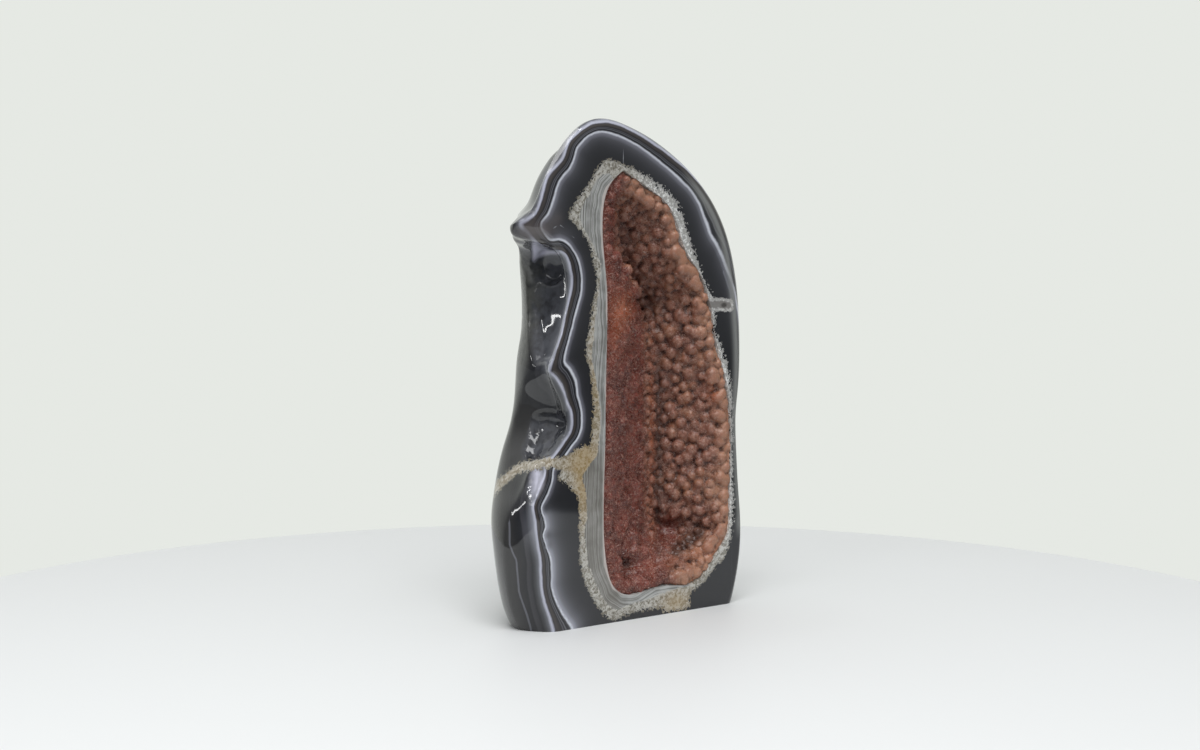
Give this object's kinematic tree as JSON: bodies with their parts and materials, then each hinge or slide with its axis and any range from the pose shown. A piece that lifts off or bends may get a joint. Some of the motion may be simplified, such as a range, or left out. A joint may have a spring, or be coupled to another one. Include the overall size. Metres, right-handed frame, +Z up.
{
  "type": "polished agate with crystal hollow",
  "caption": "Free-standing agate, sawn flat at the base and polished over the face and sides, with a deep hollow lined by a druse of small quartz balls.",
  "frame": {"origin": "centre of the bounding box on the flat sawn base", "axes": "+Z up along the height; the sawn and polished face with the hollow looks along -Y; +X to the right of a viewer who looks at that face"},
  "size_m": [0.1114, 0.0542, 0.1914],
  "materials": {
    "polished_agate": "polished banded agate: black and grey with white and lavender bands, granular tan border, natural rind at the back",
    "crystal_crust": "reddish brown quartz druse, round balls of fine crystals that sparkle"
  },
  "bodies": {
    "root": {"agate_body": "polished_agate", "crystal_crust": "crystal_crust"}
  },
  "joints": []
}
